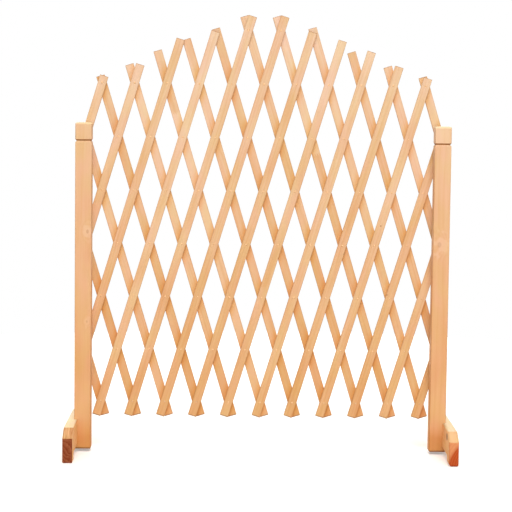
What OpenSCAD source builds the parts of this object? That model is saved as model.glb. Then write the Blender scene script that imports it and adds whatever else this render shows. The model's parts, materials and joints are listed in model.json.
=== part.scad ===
// Expanding wooden plant trellis: a riveted scissor lattice between two capped posts on sled feet.
// Frame: origin on the floor midway between the posts, +X right, +Y back, +Z up, millimetres.
// A crossing has a column, counted from the left post, and a row, counted from the lowest one.
// A front slat rises one column to the right for each row, a back slat one to the left.

/* [Lattice] */
// Distance between neighbouring pivots along a slat
pivot_pitch = 130; // [115:1:145]
// Lean of every slat from the vertical as shown, in degrees
slat_lean = 16.8; // [14:0.1:20]
// Lean when the lattice is pushed together, in degrees
closed_lean = 5.3; // [5:0.1:8]
// Lean when the lattice is drawn out, in degrees
open_lean = 39; // [30:0.5:42]
// Height of the lowest row of crossings above the floor
low_row_z = 113.4; // [95:0.1:140]
// Width of a slat
slat_w = 20; // [17:0.5:22]
// Thickness of a slat
slat_t = 7; // [5:0.5:9]
// Bevel along the edges of a slat
slat_edge = 0.8; // [0.4:0.1:1.5]
// Length of a slat below the lowest crossing
slat_tail = 35; // [20:1:45]
// Length of the longest slats above the top crossing
slat_tip = 34; // [30:0.5:45]
// Drop of the stepped top from one slat length to the next
top_step = 28.4; // [24:0.2:29]
// Length of a slat past its last crossing behind a post
edge_tail = 12; // [8:0.5:14]

/* [Posts] */
// Side of the square posts
post_w = 38; // [36:0.5:50]
// Distance of a post's middle outside the end pivots of the lattice
post_out = 2; // [0:0.5:4]
// Height of a post above its screw pivot
post_rise = 32; // [26:0.5:45]
// Gap between a post and the floor
post_lift = 6.5; // [4:0.5:12]
// Bevel along the upright edges of a post
post_edge = 2.5; // [1:0.5:4]
// Bevel round the top of a post
cap_edge = 4; // [2:0.5:8]
// Distance from the top of a post to the middle of the cap groove
groove_drop = 42; // [38:0.5:60]
// Width of the cap groove
groove_w = 7; // [5:0.5:10]
// Depth of the cap groove
groove_depth = 3; // [2:0.5:4.5]

/* [Feet] */
// Length of a foot from front to back
foot_len = 316; // [240:4:360]
// Height of a foot
foot_h = 76; // [66:1:90]
// Thickness of a foot
foot_t = 22.5; // [16:0.5:26]
// Height of the upright ends of a foot
foot_end_h = 57; // [42:1:62]
// Length of the sloping corner at each end of a foot
foot_slope = 36; // [20:1:50]
// Length of each pad that a foot stands on
pad_len = 42; // [30:1:60]
// Height of the relief under a foot
arch_h = 16.5; // [10:0.5:20]
// Radius of the relief's upper corners
arch_r = 12; // [6:0.5:14]
// Depth of the housing that takes the post
housing = 7.25; // [3:0.5:9]

/* [Fasteners] */
// Shank diameter of a rivet
rivet_d = 2.6; // [2:0.1:4]
// Head diameter of a rivet
rivet_head_d = 4.4; // [4.2:0.1:7]
// Head height of a rivet
rivet_head_h = 0.9; // [0.6:0.1:1.4]
// Shank diameter of the pivot screws and guide pins
pivot_d = 6; // [5:0.5:8]
// Head diameter of the pivot screws and guide pins
pivot_head_d = 12; // [10:0.5:15]
// Head height of the pivot screws and guide pins
pivot_head_h = 3; // [2:0.5:4]
// Length of a pivot screw inside its post
pivot_bite = 24; // [15:1:32]
// Length of a guide pin inside its groove
pin_reach = 10; // [6:0.5:14]
// Outer diameter of the spacers between the posts and the front slats
spacer_d = 15; // [12:0.5:18]
// Shank diameter of the foot screws
foot_screw_d = 4.5; // [4:0.5:6]
// Head diameter of the foot screws
foot_screw_head_d = 9; // [8:0.5:11]
// Length of the foot screws
foot_screw_len = 42; // [30:1:48]
// Height of the lower foot screw above the relief
foot_screw_rise = 15; // [12:0.5:20]
// Height of the upper foot screw above the lower one
foot_screw_step = 18; // [14:0.5:22]
// Distance between the two screws along a foot
foot_screw_gap = 16; // [10:0.5:22]
// Depth of the cross in a screw head
cross_depth = 1.4; // [0.8:0.1:1.8]
// Width of the arms of the cross
cross_w = 1.1; // [0.8:0.1:1.5]

/* [Clearances] */
// Gap between the posts and the front slats
post_gap = 2; // [1.6:0.1:4]
// Gap between the front slats and the back slats
layer_gap = 0.4; // [0.3:0.1:1]
// Play round a pivot in the slat that turns on it
pivot_play = 0.35; // [0.3:0.05:0.6]
// Play under a head or spacer that turns against its neighbour
face_play = 0.3; // [0.3:0.05:0.6]
// Play of a fastener in the wood that it is driven into
drive_play = 0.05; // [0.02:0.01:0.1]
// Play of a guide pin in its groove, at the sides and both ends
groove_play = 0.4; // [0.3:0.1:0.8]
// Room beyond the tip of a guide pin or screw
tip_room = 2; // [1:0.5:4]
// Play of a post in the housing of its foot
housing_play = 0.1; // [0.05:0.05:0.3]

/* [Hidden] */
$fn = 48;
overcut = 1;
// How far the rim of a low head draws in for each unit of its height.
head_taper = 0.6;
// Share of a head's height that its shank runs into.
head_bond = 0.5;

// The lattice's counts, and how many lengths each slat's top lies below the highest ones.
columns = 22;
screw_row = 5;
top_row = 7;
slat_count = (columns + screw_row + 1) / 2;
front_steps = [5.2, 4.2, 2, 1.33, 0, 0, 1.3, 2, 2.9, 4.15, 5.1];
back_steps = [5.2, 4.2, 3, 2, 1.08, 0, 0, 0.94, 2.95, 4.15, 5];
// Guide pins: the side they are on and the row that they hold.
pin_names = ["left_lower", "left_middle", "right_lower", "right_middle"];
pin_columns = [0, 0, columns, columns];
pin_rows = [1, 3, 1, 3];
// Least wood between a rivet's head and the end of a slat.
end_wood = 2;
end_margin = rivet_head_d / 2 + end_wood;

half_pitch = pivot_pitch * sin(slat_lean);
row_h = pivot_pitch * cos(slat_lean);
front_y = post_w / 2 + post_gap;
back_y = front_y + slat_t + layer_gap;
head_y = back_y + slat_t + face_play;
rivet_bond_y = head_y + rivet_head_h * head_bond;
pivot_bond_y = head_y + pivot_head_h * head_bond;
end_pivot_x = pivot_x(columns);
post_x = end_pivot_x + post_out;
post_top = pivot_z(screw_row) + post_rise;
foot_x = post_x + post_w / 2 - housing;
pin_tip_y = post_w / 2 - pin_reach;

front_wood = [0.91, 0.70, 0.49];
back_wood = [0.86, 0.62, 0.40];
post_wood = [0.93, 0.73, 0.53];
foot_wood = [0.93, 0.75, 0.54];
steel = [0.55, 0.52, 0.48];

function pivot_x(column) = (column - columns / 2) * half_pitch;
function pivot_z(row) = low_row_z + row * row_h;
function two_digits(i) = i < 10 ? str("0", i) : str(i);
function front_name(i) = str("front_slat_", two_digits(i + 1));
function back_name(i) = str("back_slat_", two_digits(i + 1));
function rivets_name(i) = str("rivets_", two_digits(i + 1));
function pin_name(i) = str(pin_names[i], "_guide_pin");

// Column of slat i where it would meet the lowest row.
function front_column(i) = 2 * i - screw_row;
function back_column(i) = 2 * i + 1;

// Rows of the crossings at the two ends of a slat, and the slat's own ends along its length.
function top_end(step) = top_row * pivot_pitch + slat_tip - step * top_step;
function top_crossing(step) = floor((top_end(step) - end_margin) / pivot_pitch);
function front_free(i) = front_column(i) + screw_row < columns;
function back_free(i) = back_column(i) > screw_row;
function front_first(i) = max(0, -front_column(i));
function front_last(i) = front_free(i) ? top_crossing(front_steps[i]) : columns - front_column(i);
function back_first(i) = max(0, back_column(i) - columns);
function back_last(i) = back_free(i) ? top_crossing(back_step(i)) : back_column(i);
function back_step(i) = back_steps[i - (slat_count - len(back_steps))];
function low_end(first) = first * pivot_pitch - (first > 0 ? edge_tail : slat_tail);
function front_high_end(i) = front_free(i) ? top_end(front_steps[i]) : front_last(i) * pivot_pitch + edge_tail;
function back_high_end(i) = back_free(i) ? top_end(back_step(i)) : back_last(i) * pivot_pitch + edge_tail;

// Rows at which front slat i, or back slat i, crosses a slat of the other layer.
function meets(front, back, row) =
    row >= max(front_first(front), back_first(back)) && row <= min(front_last(front), back_last(back));
function front_rows(i) = [for (r = [front_first(i) : front_last(i)])
    if (meets(i, (front_column(i) + 2 * r - 1) / 2, r)) r];
function back_rows(i) = [for (r = [back_first(i) : back_last(i)])
    if (meets((back_column(i) - 2 * r + screw_row) / 2, i, r)) r];

// Which fastener holds a crossing, and the holes that it needs.
function behind_post(column) = column == 0 || column == columns;
function is_screw(column, row) = behind_post(column) && row == screw_row;
function shank_d(column) = behind_post(column) ? pivot_d : rivet_d;
function front_hole_d(column, row) = shank_d(column) + 2 * (is_screw(column, row) ? pivot_play : drive_play);
function back_hole_d(column) = shank_d(column) + 2 * pivot_play;

// Round bar along +Y between two depths.
module rod(d, from, to) {
    translate([0, from, 0])
        rotate([-90, 0, 0])
            cylinder(d = d, h = to - from);
}

// Low head along +Y that narrows from d at the depth base by the height h, which may be negative.
module head(d, base, h) {
    translate([0, base, 0])
        rotate([h > 0 ? -90 : 90, 0, 0])
            cylinder(d1 = d, d2 = d - 2 * abs(h) * head_taper, h = abs(h));
}

// Cross for a driver, sunk from z = 0 downwards.
module driver_cross(across) {
    for (turn = [0, 90])
        rotate([0, 0, turn])
            translate([-across / 2, -cross_w / 2, -cross_depth])
                cube([across, cross_w, cross_depth + overcut]);
}

// Outline of a rectangle with bevelled corners, centred on the origin.
module bevelled_rectangle(w, d, edge) {
    polygon([
        [-w / 2 + edge, -d / 2], [w / 2 - edge, -d / 2], [w / 2, -d / 2 + edge], [w / 2, d / 2 - edge],
        [w / 2 - edge, d / 2], [-w / 2 + edge, d / 2], [-w / 2, d / 2 - edge], [-w / 2, -d / 2 + edge]
    ]);
}

// Puts children that run along +Z from the lowest row in the place of a slat.
module along_slat(column, lean) {
    translate([pivot_x(column), 0, low_row_z])
        rotate([0, lean, 0])
            children();
}

module slat_blank(y, from, to) {
    translate([0, y + slat_t / 2, from])
        linear_extrude(to - from)
            bevelled_rectangle(slat_w, slat_t, slat_edge);
}

module slat_hole(y, row, d) {
    translate([0, 0, row * pivot_pitch])
        rod(d, y - overcut, y + slat_t + overcut);
}

module front_slat(i) {
    column = front_column(i);
    color(front_wood)
        along_slat(column, slat_lean)
            difference() {
                slat_blank(front_y, low_end(front_first(i)), front_high_end(i));
                for (row = front_rows(i))
                    slat_hole(front_y, row, front_hole_d(column + row, row));
            }
}

module back_slat(i) {
    column = back_column(i);
    color(back_wood)
        along_slat(column, -slat_lean)
            difference() {
                slat_blank(back_y, low_end(back_first(i)), back_high_end(i));
                for (row = back_rows(i))
                    slat_hole(back_y, row, back_hole_d(column - row));
            }
}

// Rivets of one front slat: driven through it, free in the back slats, with a head at each end.
module rivets(i) {
    column = front_column(i);
    color(steel)
        along_slat(column, slat_lean)
            for (row = front_rows(i))
                if (!behind_post(column + row))
                    translate([0, 0, row * pivot_pitch]) {
                        rod(rivet_d, front_y - rivet_head_h * head_bond, rivet_bond_y);
                        head(rivet_head_d, front_y, -rivet_head_h);
                        head(rivet_head_d, head_y, rivet_head_h);
                    }
}

// Pin through an end crossing, with a collar against the front slat and its tip in the post's groove.
module guide_pin(i) {
    color(steel)
        translate([pivot_x(pin_columns[i]), 0, pivot_z(pin_rows[i])]) {
            rod(pivot_d, pin_tip_y, pivot_bond_y);
            rod(spacer_d, post_w / 2 + face_play, front_y);
            head(pivot_head_d, head_y, pivot_head_h);
        }
}

// Screw at the top of the left post, on which the lattice hangs.
module pivot_screw() {
    color(steel)
        translate([-end_pivot_x, 0, pivot_z(screw_row)])
            difference() {
                union() {
                    rod(pivot_d, post_w / 2 - pivot_bite, pivot_bond_y);
                    head(pivot_head_d, head_y, pivot_head_h);
                }
                translate([0, head_y + pivot_head_h, 0])
                    rotate([-90, 0, 0])
                        driver_cross(pivot_d);
            }
}

// Washer round the left pivot screw, seated on the post.
module spacer() {
    color(steel)
        translate([-end_pivot_x, 0, pivot_z(screw_row)])
            difference() {
                rod(spacer_d, post_w / 2, front_y - face_play);
                rod(pivot_d + 2 * drive_play, post_w / 2 - overcut, front_y + overcut);
            }
}

// Post blank standing on z = 0 with bevelled upright edges and top.
module post_blank(h) {
    intersection() {
        linear_extrude(h)
            bevelled_rectangle(post_w, post_w, post_edge);
        both_ways()
            rotate([90, 0, 0])
                linear_extrude(post_w + 2 * overcut, center = true)
                    polygon([
                        [-post_w / 2, 0], [post_w / 2, 0], [post_w / 2, h - cap_edge],
                        [post_w / 2 - cap_edge, h], [-post_w / 2 + cap_edge, h], [-post_w / 2, h - cap_edge]
                    ]);
    }
}

// The space common to a child and the same child a quarter turn round.
module both_ways() {
    intersection() {
        children();
        rotate([0, 0, 90])
            children();
    }
}

// V-shaped groove round all four sides, at z = 0.
module cap_groove() {
    for (turn = [0 : 90 : 270])
        rotate([0, 0, turn])
            translate([0, -post_w / 2, 0])
                rotate([90, 0, 90])
                    linear_extrude(post_w + 2 * overcut, center = true)
                        polygon([
                            [-groove_depth, -groove_w], [groove_depth, 0], [-groove_depth, groove_w]
                        ]);
}

// Stopped groove in the back of a post for a guide pin, as long as the pin's travel.
module pin_groove(row) {
    low = pivot_z(screw_row) - (screw_row - row) * pivot_pitch * cos(closed_lean) - groove_play;
    high = pivot_z(screw_row) - (screw_row - row) * pivot_pitch * cos(open_lean) + groove_play;
    width = pivot_d + 2 * groove_play;
    bottom = pin_tip_y - tip_room;
    for (z = [low, high])
        translate([0, 0, z])
            rod(width, bottom, post_w / 2 + overcut);
    translate([-width / 2, bottom, low])
        cube([width, post_w / 2 + overcut - bottom, high - low]);
}

// Puts children that point along +Z, head down, at the screws in the outer face of the left foot.
module at_foot_screws() {
    for (side = [-1, 1])
        translate([
            -foot_x - foot_t,
            side * foot_screw_gap / 2,
            arch_h + foot_screw_rise + (side + 1) / 2 * foot_screw_step
        ])
            rotate([0, 90, 0])
                children();
}

module foot_screw(d, head_d, length) {
    cylinder(d = d, h = length);
    cylinder(d1 = head_d, d2 = d, h = (head_d - d) / 2);
}

module post() {
    color(post_wood)
        difference() {
            translate([-post_x, 0, post_lift])
                post_blank(post_top - post_lift);
            translate([-post_x, 0, post_top - groove_drop])
                cap_groove();
            translate([-end_pivot_x, 0, pivot_z(screw_row)])
                rod(pivot_d + 2 * drive_play, post_w / 2 - pivot_bite - tip_room, post_w / 2 + overcut);
            for (row = [pin_rows[0], pin_rows[1]])
                translate([-end_pivot_x, 0, 0])
                    pin_groove(row);
            at_foot_screws()
                cylinder(d = foot_screw_d + 2 * drive_play, h = foot_screw_len + tip_room);
        }
}

// Side view of a foot: upright ends, sloping corners and a relief between two pads.
module foot_outline() {
    half = foot_len / 2;
    arch_half = half - pad_len;
    difference() {
        polygon([
            [-half, 0], [half, 0], [half, foot_end_h], [half - foot_slope, foot_h],
            [-half + foot_slope, foot_h], [-half, foot_end_h]
        ]);
        translate([-arch_half, -overcut])
            square([2 * arch_half, arch_h - arch_r + overcut]);
        translate([-arch_half + arch_r, -overcut])
            square([2 * (arch_half - arch_r), arch_h + overcut]);
        for (side = [-1, 1])
            translate([side * (arch_half - arch_r), arch_h - arch_r])
                circle(arch_r);
    }
}

module foot() {
    room = post_w + 2 * housing_play;
    color(foot_wood)
        difference() {
            translate([-foot_x - foot_t, 0, 0])
                rotate([90, 0, 90])
                    linear_extrude(foot_t)
                        foot_outline();
            translate([-foot_x - housing, -room / 2, -overcut])
                cube([housing + overcut, room, foot_h + 2 * overcut]);
            at_foot_screws()
                translate([0, 0, -overcut])
                    foot_screw(foot_screw_d + 2 * drive_play,
                        foot_screw_head_d + 2 * drive_play + 2 * overcut, foot_t + 2 * overcut);
        }
}

module foot_screws() {
    color(steel)
        at_foot_screws()
            difference() {
                foot_screw(foot_screw_d, foot_screw_head_d, foot_screw_len);
                rotate([180, 0, 0])
                    driver_cross(foot_screw_d);
            }
}

post();  // left_post
mirror([1, 0, 0]) post();  // right_post
foot();  // left_foot
mirror([1, 0, 0]) foot();  // right_foot
foot_screws();  // left_foot_screws
mirror([1, 0, 0]) foot_screws();  // right_foot_screws
pivot_screw();  // left_pivot_screw
mirror([1, 0, 0]) pivot_screw();  // right_pivot_screw
spacer();  // left_spacer
mirror([1, 0, 0]) spacer();  // right_spacer
for (i = [0 : len(pin_names) - 1])
    guide_pin(i);
for (i = [0 : slat_count - 1])
    front_slat(i);
for (i = [0 : slat_count - 1])
    back_slat(i);
for (i = [0 : slat_count - 1])
    rivets(i);
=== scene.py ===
"""Looks of the expanding wooden trellis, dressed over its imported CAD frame, in metres."""
import json
import math
import random

import bmesh
import bpy
from mathutils import Matrix, Vector


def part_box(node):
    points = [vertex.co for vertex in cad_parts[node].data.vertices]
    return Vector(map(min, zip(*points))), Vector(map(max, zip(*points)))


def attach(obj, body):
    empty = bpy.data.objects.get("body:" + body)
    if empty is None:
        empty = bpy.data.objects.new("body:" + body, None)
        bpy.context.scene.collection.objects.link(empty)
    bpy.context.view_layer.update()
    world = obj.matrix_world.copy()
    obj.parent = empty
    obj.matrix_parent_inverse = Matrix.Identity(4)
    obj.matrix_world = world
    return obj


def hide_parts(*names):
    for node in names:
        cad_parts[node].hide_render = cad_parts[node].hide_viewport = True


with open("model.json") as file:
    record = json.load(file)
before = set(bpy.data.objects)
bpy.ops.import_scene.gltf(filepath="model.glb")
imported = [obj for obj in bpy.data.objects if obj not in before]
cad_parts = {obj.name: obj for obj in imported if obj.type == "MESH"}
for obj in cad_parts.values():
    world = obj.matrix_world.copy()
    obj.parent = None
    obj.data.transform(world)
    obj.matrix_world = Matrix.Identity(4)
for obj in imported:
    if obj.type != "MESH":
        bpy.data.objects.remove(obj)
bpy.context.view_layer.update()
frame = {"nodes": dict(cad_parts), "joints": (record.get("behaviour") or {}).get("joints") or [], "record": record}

scene = bpy.context.scene
scene.view_settings.view_transform = "Standard"
draw = random.Random(7)
MM = 0.001

# Lattice, as it stands in the frame at rest.
LEAN = math.radians(16.8)       # of the slats from upright
PITCH = 130 * MM                # between pivots along a slat
LOW_ROW = 113.4 * MM            # height of the lowest pivots
MID_COLUMN = 11                 # column of pivots at X = 0
HALF = PITCH * math.sin(LEAN)   # between columns of pivots
ROW = PITCH * math.cos(LEAN)    # between rows of pivots
SLATS = range(1, 15)
FRONT_LINE = -5                 # column in which the line of the first front slat meets the lowest row
BACK_LINE = 1                   # the same of the first back slat
SLAT_W = 20 * MM
SLAT_T = 7 * MM
SLAT_ROUND = 1.1 * MM           # on the long edges of a slat
SLAT_BREAK = 0.9 * MM           # on the sawn ends of a slat
SLAT_SKEW = math.radians(1.0)   # most that a sawn end is off square
SLAT_LOW_TIP = 35 * MM          # past the lowest pivot, along the slat
SLAT_TONE = 0.3                 # most that a slat is paler or darker than the rest
# Finger joints: how many pivots up the slat, and the tones of the wood below and above the joint.
SPLICES = {
    "back_slat_05": (0.75, 0.1, -0.2),
    "back_slat_06": (5.47, -0.6, 0.0),
    "back_slat_10": (4.73, 0.25, -0.25),
}
NO_SPLICE = 99                  # pivots up, which no slat reaches

# Posts.
POST_W = 38 * MM
POST_ROUND = 1.8 * MM           # on the upright edges
POST_BREAK = 1.5 * MM           # on the edges at the bottom
CAP_EASE = 4 * MM               # height of the rounding round the top
CAP_EASE_IN = 0.9               # how far it comes in, as a share of its height
CAP_STEPS = 4
CAP_BLOCK_TONE = -0.4           # the cap block of the right post is paler than the post
V_DROP = 42 * MM                # of the V-groove's bottom under the top
V_HALF = 3.5 * MM
V_DEPTH = 3 * MM
PIN_TRACK_W = 6.8 * MM          # stopped grooves for the guide pins
PIN_TRACK_FLOOR = 7 * MM        # how far their floor is from the post's middle
PIN_ROWS = (1, 3)
SCREW_ROW = 5                   # row at which the lattice hangs on the posts
SCREW_Z = LOW_ROW + SCREW_ROW * ROW
SCREW_FLOOR = -7 * MM           # how far the bores of the pivot screws go past the post's middle
EXPAND = [math.radians(turn) for joint in frame["joints"] if joint["name"] == "expand"
          for turn in joint["range_deg"]]

# Feet.
FOOT_T = 22.5 * MM
FOOT_H = 76 * MM
FOOT_END_H = 57 * MM            # height of the end under the slope
FOOT_SLOPE = 36 * MM            # length of the slope along the foot
PAD_LEN = 42 * MM
ARCH_H = 16.5 * MM
ARCH_R = 12 * MM
HOUSING = 7.25 * MM             # depth of the housing for the post
FOOT_ROUND = {"left": 2.4 * MM, "right": 4.4 * MM}
FOOT_WEAR = {"left": 0, "right": 9 * MM}   # on the inner edge that stands on the floor
WEAR_RUNOUT = 1.02              # of the wear's radius, so that the cut runs out into the faces
# From the pith to the foot's middle, mm. Both piths lie outside and below, so the right foot's heart fills a corner.
FOOT_PITH = {"left": (31, 52, 900), "right": (-59, 43, -700)}
FOOT_SCREWS = ((-8 * MM, 31.5 * MM), (8 * MM, 49.5 * MM))   # Y and Z
FOOT_SCREW_D = 4.6 * MM
FOOT_SCREW_HEAD_D = 9.1 * MM
FOOT_SCREW_BITE = 30 * MM       # into the post
SINK_OVER = 1 * MM              # how far the cutters of countersinks and wear stand out of the wood
SINK_PAST = 0.5 * MM            # how far a countersink's cone runs on inside the bore
FOOT_CORNER = math.radians(20)  # between two faces, from which their edge is rounded

# Steel.
RIVET_D = 2.6 * MM
RIVET_HEAD_D = 4.4 * MM
RIVET_HEAD_H = 0.9 * MM
PIVOT_D = 6 * MM
HOLE_PLAY = 0.35 * MM           # of a slat on its rivet or pin
FIT_PLAY = 0.1 * MM             # of a post in its housing and on its screw

# Cuts and faces.
OVERCUT = 10 * MM               # how far the housing's cutter stands out above and below
SLIVER = 0.01 * MM              # shorter edges than this are cleared after a cut
AXIS_FLAT = 0.999               # part of a normal along an axis, from which a face is flat
TILTED = 0.3                    # part of a normal up or along, from which a face slopes
UPWARD = 0.5                    # part of a normal up, from which a face of a foot is on top
ENDWAYS = 0.9                   # part of a normal along a slat, from which a face is its end
BIG_FACE = 1e-3                 # square metres, from which a face isn't a rounding
FAR_UP = 9000                   # metres up, where there is no joint or cap block

# Camera of the photograph, fitted to the lattice, posts and feet.
LENS = 129.06                   # mm
SENSOR = 36                     # mm
EYE = Vector((-72.2, -4259, 837.5)) * MM
EYE_PITCH, EYE_YAW, EYE_ROLL = 0.0880, 0.0136, -0.0122


def colour(code):
    """Linear RGBA of an sRGB hex colour."""
    parts = [int(code[i:i + 2], 16) / 255 for i in (1, 3, 5)]
    return [p / 12.92 if p <= 0.04045 else ((p + 0.055) / 1.055) ** 2.4 for p in parts] + [1.0]


def add(tree, kind, sockets=None, stops=None, **settings):
    """Adds a shader node; sockets gives its inputs, by name or number, as values or as outputs to link."""
    made = tree.nodes.new("ShaderNode" + kind)
    for name, value in settings.items():
        setattr(made, name, value)
    for key, value in (sockets or {}).items():
        if isinstance(value, bpy.types.NodeSocket):
            tree.links.new(value, made.inputs[key])
        else:
            made.inputs[key].default_value = value
    for place, level in stops or ():
        if place in (0, 1):
            stop = made.color_ramp.elements[-place]
        else:
            stop = made.color_ramp.elements.new(place)
        stop.color = (level, level, level, 1)
    return made


def new_material(name):
    material = bpy.data.materials.new(name)
    material.use_nodes = True
    material.node_tree.nodes.clear()
    return material, material.node_tree


# Sizes in the wood. Rings, fibres and pores are drawn coarser than fir has them, so that they show.
FINGER_W = 2.5 * MM             # from a tip to a root of a finger joint
FINGER_STEEP = 3.0              # length of a finger for its width
OTHER_BOARD = (0.017, 0.031, 0.33)              # where the board past a joint was sawn from
KNOT_CELL = Vector((45, 45, 330)) * MM          # room that has one knot at most
KNOTLESS = 0.80                                 # share of the rooms without one
KNOT_TALL = (1, 1, 0.65)                        # knots are longer along the grain
PIN_KNOT_CELL = Vector((24, 24, 95)) * MM
KNOT_EDGE, KNOT_CORE, KNOT_REACH = 3.6 * MM, 2.0 * MM, 22 * MM      # the rings bend within its reach
PIN_KNOT_EDGE, PIN_KNOT_CORE = 2.4 * MM, 0.9 * MM
SWIRL_SIZE = 16 * MM            # of the uneven pale wood round a big knot
RING_WANDER = (28, 28, 3.2)     # waves of the rings to a metre, across and along the grain
FIBRE_SIZE = (2, 2, 90)         # mm
CLOUD_SIZE = Vector((40, 40, 130)) * MM         # slow changes of tone
DRIFT_SIZE = Vector((30, 30, 70)) * MM          # drift of the hue between straw and rose
LOW_STAIN_AND_SHADE_H = 200 * MM              # of the posts, over which they are darker towards the bottom: partly painted shade near the feet and floor, partly a water stain
RING_MEAN, NOISE_MEAN, LOW_STAIN_AND_SHADE_MEAN = 0.4, 0.5, 0.45      # of the patterns
MIDDLE_TONE = 0.45              # how dark the wood is without them, 0 to 1
LATTICE_TOP = 0.98              # metres; from the floor to there the wood goes from its low to its high colour, painted light that pales it towards the top
CROSSING_SHADE_TOP = 6.6 * PITCH           # along a slat, above which no slat crosses, so no shade is painted there
CROSSING_SHADE_EDGE, CROSSING_SHADE_CORE = 27 * MM, 9 * MM            # from the middle of the crossing slat, where the painted shade fades out and where it is full

# Tints that the wood's colour is multiplied by.
PALE_TINT = (1.04, 1.08, 1.14, 1)       # early wood
STRAW_TINT = (0.93, 0.82, 0.66, 1)      # late wood
GOLD_TINT = (0.93, 0.83, 0.65, 1)       # late wood of the posts
STREAK_TINT = (0.66, 0.52, 0.40, 1)     # fibres torn by a saw
STRAW_CAST = (0.975, 1.025, 0.92, 1)
ROSE_CAST = (1.0, 0.983, 1.01, 1)
# Painted shade: a thin darker line along the rounded edges of slats and posts.
ARRIS_SHADE_TINT = (0.80, 0.68, 0.55, 1)
# Painted highlight: a thin paler line along the rounded edges of the feet and the post tops.
ARRIS_HIGHLIGHT_TINT = (1.03, 1.07, 1.14, 1)
# Painted shade round the crossings of the slats.
CROSSING_SHADE_TINT = (0.96, 0.79, 0.52, 1)
# Painted shade: the dark line at the bottom of the posts and along the lower ends of the slats.
BOTTOM_SHADE = "#5F4029"


def board_past_joint(tree, grain):
    """The grain and the tone of a piece: past its finger joint the wood comes from another board."""
    piece = add(tree, "Attribute", attribute_name="piece").outputs["Vector"]
    piece = add(tree, "SeparateXYZ", {0: piece}).outputs
    across = add(tree, "SeparateXYZ", {0: grain}).outputs["X"]
    teeth = add(tree, "Math", {0: across, 1: FINGER_W}, operation="PINGPONG").outputs[0]
    edge = add(tree, "Math", {0: teeth, 1: FINGER_STEEP, 2: piece["Y"]}, operation="MULTIPLY_ADD").outputs[0]
    past = add(tree, "Math", {0: edge, 1: 0.0}, operation="GREATER_THAN").outputs[0]
    shift = add(tree, "VectorMath", {0: OTHER_BOARD, "Scale": past}, operation="SCALE").outputs[0]
    board = add(tree, "VectorMath", {0: grain, 1: shift}).outputs[0]
    tone = add(tree, "Mix", {0: past, 2: piece["X"], 3: piece["Z"]}).outputs[0]
    return board, tone


def strewn_knots(tree, board, cell, tall):
    """Distance to the nearest knot, of which each cell has one, and that knot's own random numbers."""
    cells = add(tree, "VectorMath", {0: board, 1: cell}, operation="DIVIDE").outputs[0]
    knots = add(tree, "TexVoronoi", {"Vector": cells, "Scale": 1.0}, voronoi_dimensions="3D").outputs
    away = add(tree, "VectorMath", {0: knots["Position"], 1: cells}, operation="SUBTRACT").outputs[0]
    away = add(tree, "VectorMath", {0: away, 1: cell * Vector(tall)}, operation="MULTIPLY").outputs[0]
    away = add(tree, "VectorMath", {0: away}, operation="LENGTH").outputs["Value"]
    return away, add(tree, "SeparateXYZ", {0: knots["Color"]}).outputs


def growth_rings(tree, board, ring, stops, *bends):
    """Distance from the pith, with (pattern, amount) bends, and how dark the ring there is."""
    across = add(tree, "VectorMath", {0: board, 1: (1, 1, 0)}, operation="MULTIPLY").outputs[0]
    radius = add(tree, "VectorMath", {0: across}, operation="LENGTH").outputs["Value"]
    for bend, amount in bends:
        radius = add(tree, "Math", {0: bend, 1: amount, 2: radius}, operation="MULTIPLY_ADD").outputs[0]
    turn = add(tree, "Math", {0: radius, 1: ring}, operation="DIVIDE").outputs[0]
    turn = add(tree, "Math", {0: turn}, operation="FRACT").outputs[0]
    return radius, add(tree, "ValToRGB", {0: turn}, stops=stops).outputs[0]


def crossing_shade_marks(tree, section, inner_face, depth):
    """Painted shade round the crossings, where the other layer's slats bear on a slat's inner face, every PITCH along
    it.
    """
    along = add(tree, "Math", {0: section["Z"], 1: -PITCH / 2, 2: PITCH / 2}, operation="WRAP").outputs[0]
    along = add(tree, "Math", {0: along, 1: -math.sin(2 * LEAN)}, operation="MULTIPLY").outputs[0]
    clear = add(tree, "Math", {0: section["X"], 1: math.cos(2 * LEAN), 2: along},
                operation="MULTIPLY_ADD").outputs[0]
    clear = add(tree, "Math", {0: clear}, operation="ABSOLUTE").outputs[0]
    inner = add(tree, "MapRange", {0: section["Y"], 1: inner_face - 2 * MM, 2: inner_face, 3: 0.0, 4: depth}).outputs[0]
    crossed = add(tree, "Math", {0: section["Z"], 1: CROSSING_SHADE_TOP}, operation="LESS_THAN").outputs[0]
    inner = add(tree, "Math", {0: inner, 1: crossed}, operation="MULTIPLY").outputs[0]
    return add(tree, "MapRange", {0: clear, 1: CROSSING_SHADE_EDGE, 2: CROSSING_SHADE_CORE, 3: 0.0, 4: inner},
               interpolation_type="SMOOTHSTEP").outputs[0]


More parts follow.
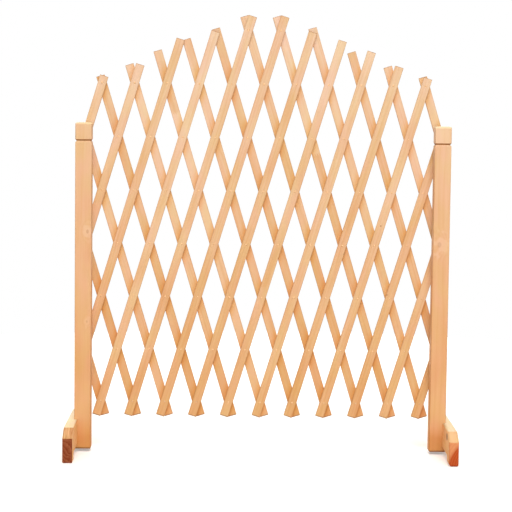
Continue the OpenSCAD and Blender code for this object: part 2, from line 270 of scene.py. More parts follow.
def softwood(name, half, low, high, ring, rings, fibres, clouds, sheen, big_knots=(), crossing_shade=0, low_stain_and_shade=(),
             fibre_size=FIBRE_SIZE, painted_edge_tint=ARRIS_SHADE_TINT, painted_edge_w=2.4 * MM, late_tint=STRAW_TINT, knot_paint="#9C6238"):
    """Fir along the grain: growth rings cut by the faces, long fibres and a few small knots.

    half is half of the section, low and high are the colours at the floor and at the lattice's top, which paint light
    that pales the wood towards the top, and ring is the width of a growth ring. rings, fibres and clouds say how much
    these show, and sheen is the least roughness. Two more arguments give the depth of the painted shade round the
    crossing slats and the stops of the darkening over the lowest part of the posts, partly painted shade near the feet
    and floor and partly a water stain.
    """
    material, tree = new_material(name)
    place = add(tree, "TexCoord").outputs["Object"]
    height = add(tree, "SeparateXYZ", {0: place}).outputs["Z"]
    grain = add(tree, "Attribute", attribute_name="grain").outputs["Vector"]
    board, tone = board_past_joint(tree, grain)

    # Knots: a few strewn ones, which the rings bend round.
    away, luck = strewn_knots(tree, board, KNOT_CELL, KNOT_TALL)
    here = add(tree, "Math", {0: luck["X"], 1: KNOTLESS}, operation="GREATER_THAN").outputs[0]
    knot = add(tree, "MapRange", {0: away, 1: KNOT_EDGE, 2: KNOT_CORE, 3: 0.0, 4: here}).outputs[0]
    bend = add(tree, "MapRange", {0: away, 1: KNOT_REACH, 2: 0.0, 3: 0.0, 4: here},
               interpolation_type="SMOOTHERSTEP").outputs[0]

    # Big knots at their places, each with uneven pale wood round it.
    swirl = add(tree, "TexNoise", {"Vector": place, "Scale": 1 / SWIRL_SIZE, "Detail": 1.0}).outputs[0]
    for centre, size, depth, squash in big_knots:
        far = add(tree, "VectorMath", {0: place, 1: centre}, operation="SUBTRACT").outputs[0]
        far = add(tree, "VectorMath", {0: far, 1: squash}, operation="MULTIPLY").outputs[0]
        far = add(tree, "VectorMath", {0: far}, operation="LENGTH").outputs["Value"]
        core = add(tree, "MapRange", {0: far, 1: size * 0.5, 2: size * 0.3, 3: 0.0, 4: depth}).outputs[0]
        knot = add(tree, "Math", {0: knot, 1: core}, operation="MAXIMUM").outputs[0]
        curl = add(tree, "MapRange", {0: far, 1: size * 3.0, 2: 0.0, 3: 0.0, 4: 2.4},
                   interpolation_type="SMOOTHERSTEP").outputs[0]
        bend = add(tree, "Math", {0: bend, 1: curl}, operation="MAXIMUM").outputs[0]
        uneven = add(tree, "Math", {0: swirl, 1: size * 5, 2: far}, operation="MULTIPLY_ADD").outputs[0]
        halo = add(tree, "MapRange", {0: uneven, 1: size * 4.3, 2: size * 2.8, 3: 0.0, 4: 0.75},
                   interpolation_type="SMOOTHSTEP").outputs[0]
        tone = add(tree, "Math", {0: tone, 1: halo}, operation="SUBTRACT").outputs[0]

    # Pin knots, 2 mm across, a few to each slat.
    away, luck = strewn_knots(tree, board, PIN_KNOT_CELL, (1, 1, 1))
    luck = add(tree, "MapRange", {0: luck["Y"], 1: 0.62, 2: 0.75, 3: 0.0, 4: 0.75}).outputs[0]
    pin_knot = add(tree, "MapRange", {0: away, 1: PIN_KNOT_EDGE, 2: PIN_KNOT_CORE, 3: 0.0, 4: luck}).outputs[0]
    knot = add(tree, "Math", {0: knot, 1: pin_knot}, operation="MAXIMUM").outputs[0]

    # Growth rings round the pith, fibres along the piece, and slow changes of tone.
    slow = add(tree, "VectorMath", {0: board, 1: RING_WANDER}, operation="MULTIPLY").outputs[0]
    wander = add(tree, "TexNoise", {"Vector": slow, "Scale": 1.0, "Detail": 2.0}).outputs[0]
    _, late = growth_rings(tree, board, ring, ((0, 0.25), (0.3, 0.0), (0.75, 0.6), (0.92, 1.0), (1, 0.25)),
                           (wander, 14 * MM), (bend, 7 * MM))
    fine = add(tree, "VectorMath", {0: board, 1: Vector(fibre_size) * MM}, operation="DIVIDE").outputs[0]
    fibre = add(tree, "TexNoise", {"Vector": fine, "Scale": 1.0, "Detail": 3.0, "Roughness": 0.6}).outputs[0]
    broad = add(tree, "VectorMath", {0: board, 1: CLOUD_SIZE}, operation="DIVIDE").outputs[0]
    cloud = add(tree, "TexNoise", {"Vector": broad, "Scale": 1.0, "Detail": 1.0}).outputs[0]
    drift = add(tree, "VectorMath", {0: board, 1: DRIFT_SIZE}, operation="DIVIDE").outputs[0]
    hue = add(tree, "TexNoise", {"Vector": drift, "Scale": 1.0, "Detail": 1.0}).outputs[0]
    hue = add(tree, "MapRange", {0: hue, 1: 0.34, 2: 0.66}).outputs[0]

    # How dark the wood is at a spot, 0 to 1, with the means of the patterns taken off.
    dark = tone
    for pattern, share in ((late, rings), (fibre, fibres), (cloud, clouds)):
        dark = add(tree, "Math", {0: pattern, 1: share, 2: dark}, operation="MULTIPLY_ADD").outputs[0]
    middle = RING_MEAN * rings + NOISE_MEAN * fibres + NOISE_MEAN * clouds - MIDDLE_TONE
    bottom_shade = None
    if low_stain_and_shade:
        # Darker towards the bottom: partly painted shade near the feet and floor, partly a stain of drawn up water.
        stain_and_shade = add(tree, "MapRange", {0: height, 1: 0.0, 2: LOW_STAIN_AND_SHADE_H}).outputs[0]
        low_stain_and_shade_level = add(tree, "ValToRGB", {0: stain_and_shade}, stops=low_stain_and_shade).outputs[0]
        dark = add(tree, "Math", {0: dark, 1: low_stain_and_shade_level}).outputs[0]
        middle += LOW_STAIN_AND_SHADE_MEAN
        # Painted shade: a thin dark line round the bottom, where the post meets the floor.
        bottom_shade = add(tree, "MapRange", {0: stain_and_shade, 1: 0.055, 2: 0.043, 3: 0.0, 4: 0.8}).outputs[0]
    dark = add(tree, "Math", {0: dark, 1: middle}, operation="SUBTRACT", use_clamp=True).outputs[0]

    # Arrises: a thin line of painted light along the rounded long edges, painted shade with the dark tint and a painted
    # highlight with the pale one.
    section = add(tree, "Attribute", attribute_name="section").outputs["Vector"]
    beyond = add(tree, "VectorMath", {0: section}, operation="ABSOLUTE").outputs[0]
    beyond = add(tree, "VectorMath", {0: beyond, 1: (*half, 0)}, operation="SUBTRACT").outputs[0]
    beyond = add(tree, "SeparateXYZ", {0: beyond}).outputs
    painted_edge = add(tree, "Math", {0: beyond["X"], 1: beyond["Y"]}, operation="MINIMUM").outputs[0]
    painted_edge = add(tree, "MapRange", {0: painted_edge, 1: -painted_edge_w, 2: -0.3 * MM, 3: 0.0, 4: 0.6}).outputs[0]

    # The colour, with painted light that makes it deeper near the floor and paler towards the top, and the tints and
    # painted shades that multiply it.
    rise = add(tree, "MapRange", {0: height, 1: 0.0, 2: LATTICE_TOP}).outputs[0]
    skin = add(tree, "Mix", {0: rise, 6: colour(low), 7: colour(high)}, data_type="RGBA").outputs[2]
    tint = add(tree, "Mix", {0: dark, 6: PALE_TINT, 7: late_tint}, data_type="RGBA").outputs[2]
    cast = add(tree, "Mix", {0: hue, 6: STRAW_CAST, 7: ROSE_CAST}, data_type="RGBA").outputs[2]
    stains_and_shades = [(1.0, tint), (1.0, cast), (painted_edge, painted_edge_tint)]
    if crossing_shade:
        # Painted shade round the crossings, where the other layer's slats lie on this one.
        spot = add(tree, "SeparateXYZ", {0: section}).outputs
        stains_and_shades.append((crossing_shade_marks(tree, spot, half[1], crossing_shade), CROSSING_SHADE_TINT))
        # Painted shade: a dark line along the lower saw cut, whose edge faces down, away from the light.
        bottom_shade = add(tree, "MapRange", {0: spot["Z"], 1: 3.0 * MM - SLAT_LOW_TIP, 2: 1.2 * MM - SLAT_LOW_TIP,
                                      3: 0.0, 4: 0.6}).outputs[0]
    for share, stain_and_shade in stains_and_shades:
        skin = add(tree, "Mix", {0: share, 6: skin, 7: stain_and_shade}, data_type="RGBA", blend_type="MULTIPLY").outputs[2]
    skin = add(tree, "Mix", {0: knot, 6: skin, 7: colour(knot_paint)}, data_type="RGBA").outputs[2]
    if bottom_shade:
        skin = add(tree, "Mix", {0: bottom_shade, 6: skin, 7: colour(BOTTOM_SHADE)}, data_type="RGBA").outputs[2]

    rough = add(tree, "MapRange", {0: fibre, 3: sheen, 4: sheen + 0.22}).outputs[0]
    lift = add(tree, "Math", {0: late, 1: 0.5, 2: fibre}, operation="MULTIPLY_ADD").outputs[0]
    bump = add(tree, "Bump", {"Strength": 0.35, "Distance": 0.25 * MM, "Height": lift}).outputs[0]
    shader = add(tree, "BsdfPrincipled", {
        "Base Color": skin, "Roughness": rough, "Normal": bump, "IOR": 1.5, "Specular IOR Level": 0.15})
    add(tree, "OutputMaterial", {0: shader.outputs[0]})
    return material


def end_grain(name, pale, deep, ring, base, lines, heart=None, waver=3 * MM, pore=1.2 * MM):
    """Fir sawn across the grain: ring lines round the pith and open pores; heart is the radius of dark heartwood."""
    material, tree = new_material(name)
    grain = add(tree, "Attribute", attribute_name="grain").outputs["Vector"]
    wander = add(tree, "TexNoise", {"Vector": grain, "Scale": 1 / (25 * MM), "Detail": 2.0}).outputs[0]
    radius, late = growth_rings(tree, grain, ring, ((0, 0.2), (0.25, 0.0), (0.8, 0.8), (0.93, 1.0), (1, 0.2)),
                                (wander, waver))
    pores = add(tree, "TexNoise", {"Vector": grain, "Scale": 1 / pore, "Detail": 2.0}).outputs[0]
    dark = add(tree, "Math", {0: pores, 1: 0.5, 2: base - 0.25}, operation="MULTIPLY_ADD").outputs[0]
    dark = add(tree, "Math", {0: late, 1: lines, 2: dark}, operation="MULTIPLY_ADD", use_clamp=True).outputs[0]
    if heart:
        inside = add(tree, "MapRange", {0: radius, 1: heart, 2: heart - 7 * MM, 3: 0.0, 4: 0.75}).outputs[0]
        dark = add(tree, "Math", {0: dark, 1: inside}, use_clamp=True).outputs[0]
    skin = add(tree, "Mix", {0: dark, 6: colour(pale), 7: colour(deep)}, data_type="RGBA").outputs[2]
    lift = add(tree, "Math", {0: late, 1: 0.5, 2: pores}, operation="MULTIPLY_ADD").outputs[0]
    bump = add(tree, "Bump", {"Strength": 0.6, "Distance": 0.3 * MM, "Height": lift}).outputs[0]
    shader = add(tree, "BsdfPrincipled", {
        "Base Color": skin, "Roughness": 0.85, "Normal": bump, "Specular IOR Level": 0.2})
    add(tree, "OutputMaterial", {0: shader.outputs[0]})
    return material


def steel(name, bright, dull, rough):
    """Pressed steel with dull blotches, 1.5 mm across."""
    material, tree = new_material(name)
    place = add(tree, "TexCoord").outputs["Object"]
    rub = add(tree, "TexNoise", {"Vector": place, "Scale": 1 / (1.5 * MM), "Detail": 3.0}).outputs[0]
    skin = add(tree, "Mix", {0: rub, 6: colour(dull), 7: colour(bright)}, data_type="RGBA").outputs[2]
    patchy = add(tree, "MapRange", {0: rub, 3: rough + 0.15, 4: rough}).outputs[0]
    bump = add(tree, "Bump", {"Strength": 0.2, "Distance": 0.05 * MM, "Height": rub}).outputs[0]
    shader = add(tree, "BsdfPrincipled", {
        "Base Color": skin, "Metallic": 1.0, "Roughness": patchy, "Normal": bump})
    add(tree, "OutputMaterial", {0: shader.outputs[0]})
    return material


SLAT_HALF = (SLAT_W / 2, SLAT_T / 2)
POST_HALF = (POST_W / 2, POST_W / 2)
FOOT_HALF = (FOOT_T / 2, FOOT_H / 2)
POST_FRONT = -POST_W / 2
# Big knots: centre, size, how dark, and how their distances are squashed, tall or round on a foot's side.
TALL, ROUND = (1, 1, 0.7), (1, 0.65, 0.7)
POST_KNOTS = (
    ((-0.405, POST_FRONT, 0.516), 8 * MM, 0.3, TALL),
    ((-0.406, POST_FRONT, 0.306), 5 * MM, 0.2, TALL),
    ((0.411, POST_FRONT, 0.494), 11 * MM, 0.22, TALL),
)
FOOT_KNOTS = (((0.427, -0.110, 0.0605), 14 * MM, 1.0, ROUND),)
# How deep the colour is over the lowest part of the posts: dark at the bottom, partly painted shade near the feet and
# floor and partly a stain of drawn up water, and paler above that.
LEFT_STAIN_AND_SHADE = ((0, 1.0), (0.17, 0.9), (0.31, 0.45), (0.4, 0.15), (0.6, 0.15), (1, 0.45))
RIGHT_STAIN_AND_SHADE = ((0, 1.0), (0.2, 1.0), (0.27, 0.4), (0.34, 0.0), (0.6, 0.0), (1, 0.5))

# Planed fir, bare: silky and straw to rose, with fine long stripes, painted light that pales it towards the top, a
# painted shade line along each edge, and painted shade round each crossing.
slat_wood = softwood("planed fir slat", SLAT_HALF, "#E5B684", "#EACBB0", ring=5.5 * MM, rings=0.36, fibres=1.0,
                     clouds=1.5, sheen=0.5, crossing_shade=0.9)
# Planed fir with wide, faint rings: calm and golden, with painted light that pales it towards the top, dark at the
# bottom, partly painted shade near the feet and floor and partly where it drew up water, and paler above that.
left_post_wood, right_post_wood = (
    softwood(name, POST_HALF, "#E5AD7A", "#ECCBAF", ring=8 * MM, rings=0.22, fibres=0.5, clouds=0.9, sheen=0.48,
             big_knots=POST_KNOTS, low_stain_and_shade=low_stain_and_shade, painted_edge_w=1.2 * MM, late_tint=GOLD_TINT)
    for name, low_stain_and_shade in (("planed fir post", LEFT_STAIN_AND_SHADE), ("planed fir post with pale band", RIGHT_STAIN_AND_SHADE)))
# Fir rounded over at the top of a post: painted light, paler than the sides as it faces the light, duller than planed
# wood, with hardly a ring in sight and painted highlights on its edges.
lit_cap_top = softwood("fir post top, painted lighter", POST_HALF, "#F3D6B2", "#F3D6B2", ring=8 * MM, rings=0.1, fibres=0.5,
                   clouds=0.3, sheen=0.55, painted_edge_tint=ARRIS_HIGHLIGHT_TINT)
# Planed fir, flat sawn: warm, painted paler than the wood as painted light on the sides, with broad rings, one dead
# knot that is nearly black, and painted highlights along its edges.
foot_side = softwood("planed fir foot side", FOOT_HALF, "#F8C58D", "#F8C58D", ring=9 * MM, rings=0.4, fibres=1.0,
                     clouds=0.8, sheen=0.5, big_knots=FOOT_KNOTS, painted_edge_tint=ARRIS_HIGHLIGHT_TINT, knot_paint="#3A1A0A")
# Planed fir on the narrow edge on top: cream and paler than the sides, painted light as the top faces the light, with
# painted highlights on its edges.
foot_top = softwood("planed fir foot edge", FOOT_HALF, "#F1DEBC", "#F1DEBC", ring=9 * MM, rings=0.3, fibres=1.0,
                    clouds=0.8, sheen=0.5, painted_edge_tint=ARRIS_HIGHLIGHT_TINT)
# Fir sawn aslant and left so: dull, with brown streaks of torn fibres.
streaked_slope = softwood("sawn fir foot slope", FOOT_HALF, "#E2AF7C", "#E2AF7C", ring=9 * MM, rings=0.1, fibres=4.5,
                          clouds=0.3, sheen=0.6, fibre_size=(3.5, 30, 60), painted_edge_tint=ARRIS_HIGHLIGHT_TINT, late_tint=STREAK_TINT)
# The same cut, planed: smoother, and clouded rather than streaked.
planed_slope = softwood("planed fir foot slope", FOOT_HALF, "#E7BA88", "#E7BA88", ring=9 * MM, rings=0.3, fibres=1.0,
                        clouds=2.2, sheen=0.5, painted_edge_tint=ARRIS_HIGHLIGHT_TINT)
# Fir sawn across: matt and browner than the sides, as open pores swallow light.
slat_end = end_grain("sawn fir slat end", "#CC9A6C", "#8F5F38", ring=3 * MM, base=0.4, lines=0.3)
# The same, stained: red brown, with paler ring lines that wander. Its pores are drawn coarse enough to show.
dark_foot_end = end_grain("sawn fir foot end, stained dark", "#C6825A", "#80391A", ring=9 * MM, base=0.95,
                          lines=-0.35, waver=30 * MM, pore=3 * MM)
# The same, with sapwood in pale orange and heartwood in deep red, parted by one ring.
red_foot_end = end_grain("sawn fir foot end with red heart", "#EBA472", "#BC4A12", ring=6 * MM, base=0.1, lines=0.15,
                         heart=77 * MM)
# Steel with a yellow chromate skin: small dull gold dots, hardly brighter than the wood.
rivet_steel = steel("yellow passivated rivet steel", "#F0D2AC", "#D2A878", 0.6)
# Zinc plated steel: cool grey, with soft reflections.
zinc_steel = steel("zinc plated steel", "#C9CBCC", "#96999C", 0.3)


def cut_out(bm, tool):
    """Cuts one bmesh out of another with an exact Boolean, and returns what is left."""
    blanks = []
    for blank in (bm, tool):
        mesh = bpy.data.meshes.new("blank")
        blank.to_mesh(mesh)
        blank.free()
        blanks.append(bpy.data.objects.new("blank", mesh))
        scene.collection.objects.link(blanks[-1])
    boolean = blanks[0].modifiers.new("cut", "BOOLEAN")
    boolean.object = blanks[1]
    boolean.operation = "DIFFERENCE"
    boolean.solver = "EXACT"
    result = blanks[0].evaluated_get(bpy.context.evaluated_depsgraph_get())
    left = bmesh.new()
    left.from_mesh(result.data)
    for blank in blanks:
        mesh = blank.data
        bpy.data.objects.remove(blank)
        bpy.data.meshes.remove(mesh)
    bmesh.ops.remove_doubles(left, verts=left.verts, dist=SLIVER)
    bmesh.ops.dissolve_degenerate(left, edges=left.edges, dist=SLIVER)
    left.normal_update()
    return left


def bevel(bm, geom, width, segments, affect="EDGES"):
    bmesh.ops.bevel(bm, geom=geom, offset=width, offset_type="OFFSET", affect=affect, segments=segments,
                    profile=0.5, material=-1, clamp_overlap=affect == "EDGES")


def box(bm, low, high):
    """Adds a box between two corners."""
    low, high = Vector(low), Vector(high)
    place = Matrix.Translation((low + high) / 2) @ Matrix.Diagonal((high - low).to_4d())
    bmesh.ops.create_cube(bm, size=1, matrix=place)


def rod(bm, diameter, start, end, segments=16, tip=None):
    """Adds a round rod between two points, with sides at its quarters; tip is its far diameter."""
    start, end = Vector(start), Vector(end)
    aim = (end - start).to_track_quat("Z", "Y").to_matrix().to_4x4() @ Matrix.Rotation(math.pi / segments, 4, "Z")
    return bmesh.ops.create_cone(
        bm, cap_ends=True, segments=segments, radius1=diameter / 2, radius2=(diameter if tip is None else tip) / 2,
        depth=(end - start).length, matrix=Matrix.Translation((start + end) / 2) @ aim)["verts"]


def curved(face):
    """Whether a face belongs to a rounding or a bore."""
    return max(abs(part) for part in face.normal) < AXIS_FLAT


def lay_grain(bm, to_section, pith, tone, joint=FAR_UP, other_tone=0.0):
    """Gives the wood its grain: to_section turns it to Z, and from joint up the wood has the other tone."""
    grain = bm.verts.layers.float_vector.new("grain")
    section = bm.verts.layers.float_vector.new("section")
    piece = bm.verts.layers.float_vector.new("piece")
    for vert in bm.verts:
        spot = to_section @ vert.co
        vert[section] = spot
        vert[grain] = spot + pith
        vert[piece] = (tone, spot.z - joint, other_tone)


def body_of(node):
    """The body that a CAD node moves with."""
    for body, members in frame["record"]["behaviour"]["bodies"].items():
        if node in members:
            return body


def dress(node, tail, bm, materials):
    """Makes a bmesh the piece that is seen in place of a CAD node."""
    mesh = bpy.data.meshes.new(node + tail)
    bm.to_mesh(mesh)
    bm.free()
    for material in materials:
        mesh.materials.append(material)
    made = bpy.data.objects.new(node + tail, mesh)
    scene.collection.objects.link(made)
    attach(made, body_of(node))
    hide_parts(node)


def pivot_place(column, row):
    return Vector(((column - MID_COLUMN) * HALF, 0, LOW_ROW + row * ROW))


def pivots_at(node):
    """The lattice's (column, row) places at which a CAD node has its fasteners."""
    return sorted({(round(v.co.x / HALF + MID_COLUMN), round((v.co.z - LOW_ROW) / ROW))
                   for v in frame["nodes"][node].data.vertices})


guide_pins = [side + which + "_guide_pin" for side in ("left", "right") for which in ("_lower", "_middle")]
pivot_screws = ["left_pivot_screw", "right_pivot_screw"]
rivet_holes = {spot for i in SLATS for spot in pivots_at("rivets_%02d" % i)}
pivot_holes = {spot for node in guide_pins + pivot_screws for spot in pivots_at(node)}


def make_slat(node, way, line, tones):
    """A slat with rounded long edges, sawn ends and drilled pivots; way is 1 where it rises to the right."""
    low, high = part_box(node)
    length = (high.z - low.z - SLAT_W * math.sin(LEAN)) / math.cos(LEAN)
    place = Matrix.Translation((low + high) / 2) @ Matrix.Rotation(way * LEAN, 4, "Y")
    bm = bmesh.new()
    bmesh.ops.create_cube(bm, size=1)
    bmesh.ops.scale(bm, vec=(SLAT_W, high.y - low.y, length), verts=bm.verts)
    skews = [draw.uniform(-1, 1) * SLAT_SKEW for _ in range(2)]
    for vert in bm.verts:
        skew = math.tan(skews[vert.co.z > 0])
        vert.co.z += (vert.co.x * skew - SLAT_W / 2 * abs(skew)) * (1 if vert.co.z > 0 else -1)
    bevel(bm, [e for e in bm.edges if abs(e.verts[0].co.z - e.verts[1].co.z) > length / 2], SLAT_ROUND, 3)
    bm.normal_update()
    bevel(bm, [e for e in bm.edges if sum(abs(f.normal.z) > ENDWAYS for f in e.link_faces) == 1], SLAT_BREAK, 2)
    drills = bmesh.new()
    for column, row in sorted(rivet_holes | pivot_holes):
        if column - way * row == line:
            height = (place.inverted() @ pivot_place(column, row)).z
            hole = (PIVOT_D if (column, row) in pivot_holes else RIVET_D) + HOLE_PLAY
            rod(drills, hole, (0, -SLAT_W, height), (0, SLAT_W, height), 14)
    bm = cut_out(bm, drills)
    sawn = length / 2 - 2 * SLAT_BREAK - SLAT_W * math.tan(SLAT_SKEW)
    for face in bm.faces:
        face.smooth = curved(face)
        face.material_index = abs(face.calc_center_median().z) > sawn
    # Section coordinates: Y to the face that meets the other layer, Z along the slat from a pivot.
    pivot = (place.inverted() @ pivot_place(line, 0)).z
    to_section = Matrix.Translation((0, 0, -pivot)) @ Matrix.Diagonal((1, way, 1, 1)) @ place.inverted()
    pith = Vector((draw.uniform(-45, 45), draw.uniform(18, 60) * draw.choice((-1, 1)), draw.uniform(-3000, 3000))) * MM
    bmesh.ops.transform(bm, matrix=place, verts=bm.verts)
    joint, tone, other_tone = SPLICES.get(node, (NO_SPLICE, *tones))
    lay_grain(bm, to_section, pith, tone, joint * PITCH, other_tone)
    dress(node, "_wood", bm, (slat_wood, slat_end))


for layer, way, first_line in (("front_slat", 1, FRONT_LINE), ("back_slat", -1, BACK_LINE)):
    for i in SLATS:
        tones = [draw.uniform(-SLAT_TONE, SLAT_TONE) for _ in range(2)]
        make_slat("%s_%02d" % (layer, i), way, first_line + 2 * (i - 1), tones)


def post_blank(x, low_z, high_z):
    """A square post, drawn up level by level, with a V-groove under its cap block and an eased top."""
    half = POST_W / 2
    groove = high_z - V_DROP
    levels = [(low_z + POST_BREAK, half)]
    # A seam over each stopped groove, so that no face has two of them cut into it.
    levels += [(LOW_ROW + (row + 1) * ROW, half) for row in PIN_ROWS]
    levels += [(groove - V_HALF, half), (groove, half - V_DEPTH), (groove + V_HALF, half)]
    for step in range(CAP_STEPS + 1):
        turn = math.pi / 2 * step / CAP_STEPS
        levels.append((high_z - CAP_EASE * (1 - math.sin(turn)),
                       half - CAP_EASE * (1 - math.cos(turn)) * CAP_EASE_IN))
    bm = bmesh.new()
    bmesh.ops.create_grid(bm, x_segments=1, y_segments=1, size=half)
    bevel(bm, list(bm.verts), POST_ROUND, 4, "VERTICES")
    bmesh.ops.translate(bm, vec=(0, 0, low_z), verts=bm.verts)
    width = half - POST_BREAK
    bmesh.ops.scale(bm, vec=(width / half, width / half, 1), verts=bm.verts)
    top = list(bm.faces)[0]
    for step, (z, wide) in enumerate(levels):
        made = bmesh.ops.extrude_face_region(bm, geom=[top])["geom"]
        if step:   # The first face stays, as the bottom.
            bmesh.ops.delete(bm, geom=[top], context="FACES_ONLY")
        top = [f for f in made if isinstance(f, bmesh.types.BMFace)][0]
        bmesh.ops.scale(bm, vec=(wide / width, wide / width, 1), verts=top.verts)
        bmesh.ops.translate(bm, vec=(0, 0, z - top.verts[0].co.z), verts=top.verts)
        width = wide
    bmesh.ops.recalc_face_normals(bm, faces=bm.faces)
    bmesh.ops.translate(bm, vec=(x, 0, 0), verts=bm.verts)
    return bm


def make_post(side):
    """A post with stopped grooves for the guide pins and bores for the screws."""
    node = side + "_post"
    low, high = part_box(node)
    x = (low.x + high.x) / 2
    out = math.copysign(1, x)
    outer = x + out * POST_W / 2
    pivot_x = out * MID_COLUMN * HALF
    tools = bmesh.new()
    for row in PIN_ROWS:
        low_z, high_z = (SCREW_Z - (SCREW_ROW - row) * PITCH * math.cos(LEAN + swing) for swing in EXPAND)
        track = rod(tools, PIN_TRACK_W, (pivot_x, PIN_TRACK_FLOOR, low_z), (pivot_x, POST_W, low_z), 20)
        bmesh.ops.translate(tools, vec=(0, 0, high_z - low_z), verts=[v for v in track if v.co.z > low_z])
    rod(tools, PIVOT_D + FIT_PLAY, (pivot_x, SCREW_FLOOR, SCREW_Z), (pivot_x, POST_W, SCREW_Z))
    for y, z in FOOT_SCREWS:
        rod(tools, FOOT_SCREW_D, (x + out * POST_W, y, z), (outer - out * FOOT_SCREW_BITE, y, z))
    bm = cut_out(post_blank(x, low.z, high.z), tools)
    ease = high.z - CAP_EASE
    for face in bm.faces:
        eased = face.calc_center_median().z > ease
        groove = abs(face.normal.z) > TILTED and face.calc_center_median().z < ease
        face.smooth = curved(face) and not groove
        # The eased top, which is painted lighter, the faces that face down, or the sides. The faces that face down take
        # the end-grain colour: true end grain at the bottom, and painted shade on the upper face of the V-groove.
        face.material_index = 1 if eased else 2 if face.normal.z < -TILTED else 0
    pith = Vector((draw.uniform(-60, 60), draw.uniform(-60, -30), draw.uniform(-3000, 3000))) * MM
    block = high.z - V_DROP + V_HALF if side == "right" else FAR_UP
    lay_grain(bm, Matrix.Translation((-x, 0, 0)), pith, 0.0, block, CAP_BLOCK_TONE)
    dress(node, "_wood", bm, (left_post_wood if side == "left" else right_post_wood, lit_cap_top, slat_end))


def foot_blank(side, low, high):
    """A sled foot with sloping top corners, an arch between its pads and rounded edges."""
    half = high.y
    outline = ((-half, 0), (-half + PAD_LEN, 0), (-half + PAD_LEN, ARCH_H), (half - PAD_LEN, ARCH_H),
               (half - PAD_LEN, 0), (half, 0), (half, FOOT_END_H), (half - FOOT_SLOPE, high.z),
               (-half + FOOT_SLOPE, high.z), (-half, FOOT_END_H))
    bm = bmesh.new()
    corners = [bm.verts.new((low.x, y, z)) for y, z in outline]
    bm.faces.new(corners)
    bevel(bm, corners[2:4], ARCH_R, 6, "VERTICES")
    made = bmesh.ops.extrude_face_region(bm, geom=list(bm.faces))["geom"]
    bmesh.ops.translate(bm, vec=(high.x - low.x, 0, 0), verts=[v for v in made if isinstance(v, bmesh.types.BMVert)])
    bmesh.ops.recalc_face_normals(bm, faces=bm.faces)
    bevel(bm, [e for e in bm.edges if e.calc_face_angle() > FOOT_CORNER], FOOT_ROUND[side], 3)
    return bm


def worn_edge(inner, out, half, wear):
    """What is worn off the inner edge on the floor: a square corner without the round bar that stays."""
    corner, round_bar = bmesh.new(), bmesh.new()
    middle = inner + out * wear
    near, far = sorted((inner - out * SINK_OVER, middle))
    box(corner, (near, -2 * half, -SINK_OVER), (far, 2 * half, wear))
    rod(round_bar, 2 * WEAR_RUNOUT * wear, (middle, -3 * half, wear), (middle, 3 * half, wear), 28)
    return cut_out(corner, round_bar)


def make_foot(side):
    """A foot with a housing for the post, bores and countersinks."""
    node = side + "_foot"
    low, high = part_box(node)
    half = high.y
    out, inner, outer = (-1, high.x, low.x) if side == "left" else (1, low.x, high.x)
    bm = foot_blank(side, low, high)
    if FOOT_WEAR[side]:
        bm = cut_out(bm, worn_edge(inner, out, half, FOOT_WEAR[side]))
    room = POST_W / 2 + FIT_PLAY
    housing, bores, sinks = bmesh.new(), bmesh.new(), bmesh.new()
    box(housing, (inner - HOUSING, -room, -OVERCUT), (inner + HOUSING, room, high.z + OVERCUT))
    sink_depth = (FOOT_SCREW_HEAD_D - FOOT_SCREW_D) / 2 + SINK_PAST
    for y, z in FOOT_SCREWS:
        rod(bores, FOOT_SCREW_D, (outer + out * HOUSING, y, z), (inner + out * HOUSING / 2, y, z))
        rod(sinks, FOOT_SCREW_HEAD_D + 2 * SINK_OVER, (outer + out * SINK_OVER, y, z),
            (outer - out * sink_depth, y, z), 22, FOOT_SCREW_D - 2 * SINK_PAST)
    for tool in (housing, bores, sinks):
        bm = cut_out(bm, tool)

    def part_of(face):
        """1 for a sawn end, 2 for a slope, 3 for the top, 0 for the rest."""
        if abs(face.calc_center_median().y) > half - FOOT_ROUND[side] and face.normal.z < UPWARD:
            return 1
        if face.normal.z > UPWARD:
            return 2 if abs(face.normal.y) > TILTED else 3
        return 0

    for face in bm.faces:
        face.smooth = curved(face) and face.calc_area() < BIG_FACE
        face.material_index = part_of(face)
    # The grain runs along Y, so Y and Z change places.
    turned = Matrix(((1, 0, 0, 0), (0, 0, 1, 0), (0, 1, 0, 0), (0, 0, 0, 1)))
    to_section = turned @ Matrix.Translation((-(low.x + high.x) / 2, 0, -FOOT_H / 2))
    lay_grain(bm, to_section, Vector(FOOT_PITH[side]) * MM, 0.0)
    end, slope = (dark_foot_end, streaked_slope) if side == "left" else (red_foot_end, planed_slope)
    dress(node, "_wood", bm, (foot_side, end, slope, foot_top))


for side in ("left", "right"):
    make_post(side)
    make_foot(side)


def make_rivets(node):
    """Rivets of one front slat, each a shank with two domed heads."""
    low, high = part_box(node)
    bm = bmesh.new()
    for column, row in pivots_at(node):
        x, _, z = pivot_place(column, row)
        rod(bm, RIVET_D, (x, low.y + RIVET_HEAD_H / 2, z), (x, high.y - RIVET_HEAD_H / 2, z), 10)
        for y, way in ((low.y, -1), (high.y, 1)):
            ball = bmesh.ops.create_uvsphere(bm, u_segments=12, v_segments=8, radius=1)["verts"]
            # The half that meets the wood is pressed flat.
            bmesh.ops.scale(bm, vec=(1, 1, 0), verts=[v for v in ball if v.co.z < 0])
            dome = Matrix.Diagonal((RIVET_HEAD_D / 2, RIVET_HEAD_H, RIVET_HEAD_D / 2, 1))
            dome = Matrix.Translation((x, y - way * RIVET_HEAD_H, z)) @ dome
            bmesh.ops.transform(bm, matrix=dome @ Matrix.Rotation(-way * math.pi / 2, 4, "X"), verts=ball)
    bmesh.ops.recalc_face_normals(bm, faces=bm.faces)
    for face in bm.faces:
        face.smooth = True
    dress(node, "_heads", bm, (rivet_steel,))


for i in SLATS:
    make_rivets("rivets_%02d" % i)

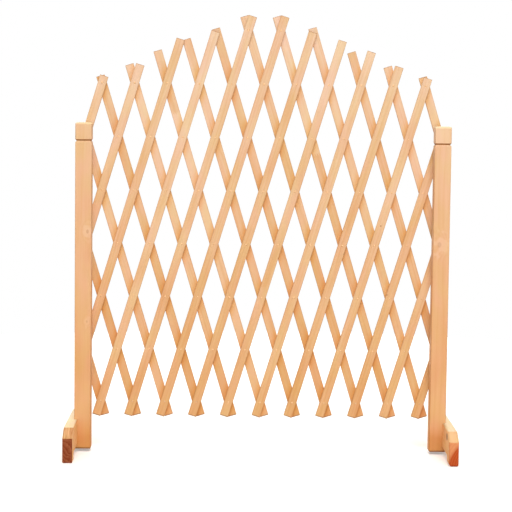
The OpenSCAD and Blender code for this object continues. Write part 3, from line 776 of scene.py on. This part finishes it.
for node, shown in frame["nodes"].items():
    if node.endswith(("_screw", "_screws", "_spacer", "_pin")):
        shown.data.materials.clear()
        shown.data.materials.append(zinc_steel)


# Camera, light and floor.
camera_data = bpy.data.cameras.new("photo camera")
camera_data.lens = LENS
camera_data.sensor_width = SENSOR
camera = bpy.data.objects.new("photo camera", camera_data)
camera.matrix_world = (Matrix.Translation(EYE) @ Matrix.Rotation(-EYE_YAW, 4, "Z")
                       @ Matrix.Rotation(math.pi / 2 - EYE_PITCH, 4, "X") @ Matrix.Rotation(-EYE_ROLL, 4, "Z"))
scene.collection.objects.link(camera)
scene.camera = camera


def softbox(name, place, aim, size, power):
    """A round white lamp, its size in metres and its power in watts."""
    data = bpy.data.lights.new(name, "AREA")
    data.shape = "DISK"
    data.size = size
    data.energy = power
    made = bpy.data.objects.new(name, data)
    way = Vector(aim) - Vector(place)
    made.matrix_world = Matrix.Translation(place) @ way.to_track_quat("-Z", "Y").to_matrix().to_4x4()
    scene.collection.objects.link(made)


softbox("key softbox", (0.3, -4.4, 6.6), (0, 0, 0.4), 3.8, 294)
softbox("fill softbox", (0.7, -4.6, 0.7), (0, 0, 0.3), 2.2, 28)
softbox("back softbox", (-0.3, 4.4, 5.2), (0, 0, 0.4), 3.8, 170)

AMBIENT, FLAGGED = 0.70, 0.36   # strength of the studio's light from front, back and above, and from the sides
FLAG_FROM, FLAG_TO = 0.35, 0.9  # how far to a side a flag begins and is full, as a part of the direction
FLOOR_R = 2.2
FLOOR_GLOW = 0.30               # lifts the floor to white for the eye, and leaves the shadow in it
WHITE = (1, 1, 1, 1)


def seen_rays(tree):
    """1 for what the eye meets, also in metal and through glass, and 0 for light on its way to the object."""
    rays = add(tree, "LightPath").outputs
    seen = add(tree, "Math", {0: rays["Is Camera Ray"], 1: rays["Is Glossy Ray"]}, operation="MAXIMUM").outputs[0]
    return add(tree, "Math", {0: seen, 1: rays["Is Transmission Ray"]}, operation="MAXIMUM").outputs[0]


world = bpy.data.worlds.new("white studio")
world.use_nodes = True
scene.world = world
studio = world.node_tree
studio.nodes.clear()
seen = seen_rays(studio)
# Black flags stand at both sides, as is done for pale things on white: they draw the edges.
direction = add(studio, "TexCoord").outputs["Generated"]
sideways = add(studio, "VectorMath", {0: direction}, operation="ABSOLUTE").outputs[0]
sideways = add(studio, "SeparateXYZ", {0: sideways}).outputs["X"]
ambient = add(studio, "MapRange", {0: sideways, 1: FLAG_FROM, 2: FLAG_TO, 3: AMBIENT, 4: FLAGGED}).outputs[0]
level = add(studio, "MapRange", {0: seen, 3: ambient, 4: 1.0}).outputs[0]
air = add(studio, "Mix", {0: seen, 6: colour("#FFF3E6"), 7: WHITE}, data_type="RGBA").outputs[2]
sky = add(studio, "Background", {"Color": air, "Strength": level})
add(studio, "OutputWorld", {0: sky.outputs[0]})

# White emulsion paint: quite matt, so that only the soft shadow shows on it.
floor_paint, tree = new_material("white floor paint")
seen = seen_rays(tree)
glow = add(tree, "MapRange", {0: seen, 3: 0.0, 4: FLOOR_GLOW}).outputs[0]
tint = add(tree, "Mix", {0: seen, 6: colour("#D6C4B2"), 7: colour("#F0F0F0")}, data_type="RGBA").outputs[2]
paint = add(tree, "BsdfDiffuse", {"Color": tint})
light = add(tree, "Emission", {"Color": WHITE, "Strength": glow})
both = add(tree, "AddShader", {0: paint.outputs[0], 1: light.outputs[0]})
add(tree, "OutputMaterial", {0: both.outputs[0]})
bm = bmesh.new()
bmesh.ops.create_circle(bm, cap_ends=True, segments=96, radius=FLOOR_R)
floor_mesh = bpy.data.meshes.new("studio floor")
bm.to_mesh(floor_mesh)
bm.free()
floor_mesh.materials.append(floor_paint)
studio_floor = bpy.data.objects.new("studio_floor", floor_mesh)
scene.collection.objects.link(studio_floor)
